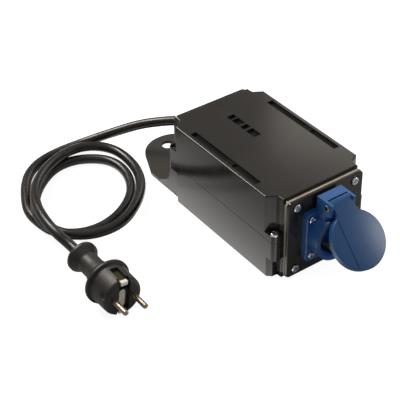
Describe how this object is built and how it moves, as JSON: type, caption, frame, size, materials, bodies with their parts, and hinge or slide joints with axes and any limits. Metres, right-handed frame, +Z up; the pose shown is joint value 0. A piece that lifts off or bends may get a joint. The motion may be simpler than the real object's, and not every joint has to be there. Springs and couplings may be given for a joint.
{
  "type": "inrush current limiter",
  "caption": "Closed black plastic box that limits inrush current, with a lidded earthed outlet on one end, a rubber mains cord with earthed plug on the other, and a hanging bracket.",
  "frame": {"origin": "bottom centre of the box, on the surface it stands on", "axes": "+Z up, -Y out of the outlet, +Y out of the cable gland and along the hanging bracket, +X to the right when the outlet is seen from the front"},
  "size_m": [0.246, 0.3447, 0.0845],
  "materials": {
    "shell_black": "moulded black plastic, half gloss",
    "bracket_black": "moulded black plastic, fine grain",
    "gasket_cream": "pale soft seal",
    "screw_chrome": "bright plated steel",
    "socket_blue": "blue moulded plastic, satin",
    "insert_blue": "blue moulded plastic, satin",
    "contact_brass": "spring brass",
    "seal_rubber": "soft black rubber",
    "pin_nickel": "nickel plated brass",
    "gland_black": "black nylon",
    "cord_rubber": "black rubber sheath",
    "plug_rubber": "black moulded rubber",
    "plug_core_black": "hard black plastic",
    "board_green": "solder-masked board",
    "relay_blue": "glossy plastic case",
    "ceramic_white": "unglazed ceramic",
    "capacitor_yellow": "glossy box",
    "capacitor_black": "shrink sleeve",
    "terminal_green": "moulded terminal plastic",
    "fuse_glass": "glass tube",
    "wire_blue": "insulated wire",
    "wire_green": "insulated wire",
    "wire_brown": "insulated wire"
  },
  "bodies": {
    "box": {"upper_shell": "shell_black", "lower_shell": "shell_black", "front_panel": "shell_black", "front_gasket": "gasket_cream", "rear_panel": "shell_black", "rear_gasket": "seal_rubber", "hanging_bracket": "bracket_black", "bracket_screws": "screw_chrome", "shell_screws": "screw_chrome", "front_panel_screws": "screw_chrome", "rear_panel_screws": "screw_chrome", "socket_frame": "socket_blue", "socket_insert": "insert_blue", "socket_contacts": "contact_brass", "socket_earth_clips": "contact_brass", "socket_screws": "screw_chrome", "lid_hinge_pin": "pin_nickel", "gland_body": "gland_black", "gland_nut": "gland_black", "gland_locknut": "gland_black", "gland_seal": "seal_rubber", "cord_root": "cord_rubber", "cord_lead": "cord_rubber", "cord_coil": "cord_rubber", "cord_tail": "cord_rubber", "plug_body": "plug_rubber", "plug_core": "plug_core_black", "plug_pins": "pin_nickel", "plug_earth_clips": "pin_nickel", "plug_earth_contact": "pin_nickel", "circuit_board": "board_green", "board_screws": "screw_chrome", "bypass_relay": "relay_blue", "inrush_resistor": "ceramic_white", "suppression_capacitor": "capacitor_yellow", "timing_capacitor": "capacitor_black", "varistor": "relay_blue", "fuse_holder": "terminal_green", "fuse": "fuse_glass", "input_terminal": "terminal_green", "output_terminal": "terminal_green", "neutral_wires": "wire_blue", "earth_wires": "wire_green", "live_wires": "wire_brown"},
    "lid": {"socket_lid": "socket_blue", "lid_seal": "seal_rubber"}
  },
  "joints": [
    {"name": "lid_hinge", "type": "hinge", "parent": "box", "child": "lid", "pos_m": [0, -0.0998, 0.0765], "axis": [-1, 0, 0], "range_deg": [-43.2, 72]}
  ]
}
